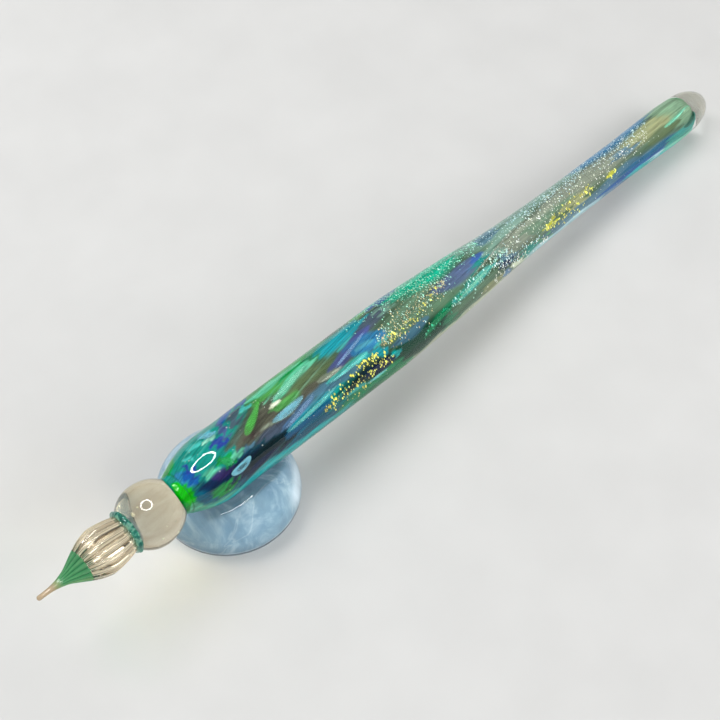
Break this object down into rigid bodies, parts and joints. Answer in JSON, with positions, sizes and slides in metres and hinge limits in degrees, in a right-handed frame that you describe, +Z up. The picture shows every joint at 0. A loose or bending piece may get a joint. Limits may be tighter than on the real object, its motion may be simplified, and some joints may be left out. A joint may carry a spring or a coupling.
{
  "type": "glass dip pen",
  "caption": "Glass dip pen with a fluted nib, a clear ball neck and a tapering barrel of twisted colour strips, lying on a domed glass pen rest.",
  "frame": {"origin": "on the table, at the middle of the pen's length and width, below the pen", "axes": "+Z up from the table; +X along the pen from the nib towards the tail, the pen's axis lying in the XZ plane and sloping down to the tail"},
  "size_m": [0.1646, 0.0246, 0.0197],
  "materials": {
    "amber": "fire-polished, faintly amber",
    "green": "fire-polished, transparent colour",
    "clear": "fire-polished, water-clear",
    "teal": "fire-polished, transparent colour",
    "smoke": "fire-polished, transparent colour",
    "cobalt": "fire-polished, transparent colour",
    "turquoise": "fire-polished, transparent colour",
    "violet": "fire-polished, transparent colour",
    "khaki": "fire-polished, transparent colour",
    "lime": "fire-polished, transparent colour",
    "mint": "milky, half transparent",
    "navy": "fire-polished, transparent colour",
    "opal": "milky, half transparent",
    "emerald": "fire-polished, transparent colour",
    "gold": "transparent with flakes of gold dichroic foil",
    "silver": "transparent with flakes of silver dichroic foil",
    "opal_rest": "fire-polished, opalescent pale blue"
  },
  "bodies": {
    "rest": {"pen_rest": "opal_rest"},
    "pen": {"nib_point": "amber", "nib_green_cone": "green", "nib_fluted_bulb": "clear", "neck_collar": "teal", "neck_ball": "clear", "barrel_collar": "green", "barrel_casing": "clear", "core_rod": "smoke", "tail_button": "clear", "cobalt_front_strip": "cobalt", "turquoise_belly_strip": "turquoise", "violet_back_strip": "violet", "khaki_back_strip": "khaki", "lime_front_strip": "lime", "mint_belly_strip": "mint", "cobalt_back_strip": "cobalt", "turquoise_tail_strip": "turquoise", "navy_front_strip": "navy", "opal_petal_strip": "opal", "violet_belly_strip": "violet", "teal_dichroic_strip": "teal", "emerald_tail_strip": "emerald", "turquoise_front_strip": "turquoise", "gold_dichroic_strip": "gold", "bronze_dichroic_strip": "khaki", "violet_petal_strip": "violet", "silver_side_strip": "silver", "emerald_front_strip": "emerald", "emerald_dichroic_strip": "emerald", "silver_dichroic_strip": "silver", "khaki_tail_strip": "khaki", "opal_front_strip": "opal", "cobalt_belly_strip": "cobalt", "olive_middle_strip": "khaki", "gold_tail_strip": "gold", "silver_tail_strip": "silver", "violet_front_strip": "violet", "emerald_belly_strip": "emerald", "cobalt_tail_strip": "cobalt", "teal_front_strip": "teal", "opal_belly_strip": "opal", "mint_tail_strip": "mint"}
  },
  "joints": [
    {"name": "pen_lift", "type": "slide", "parent": "rest", "child": "pen", "axis": [0, 0, 1], "range_m": [0, 0.03]}
  ]
}
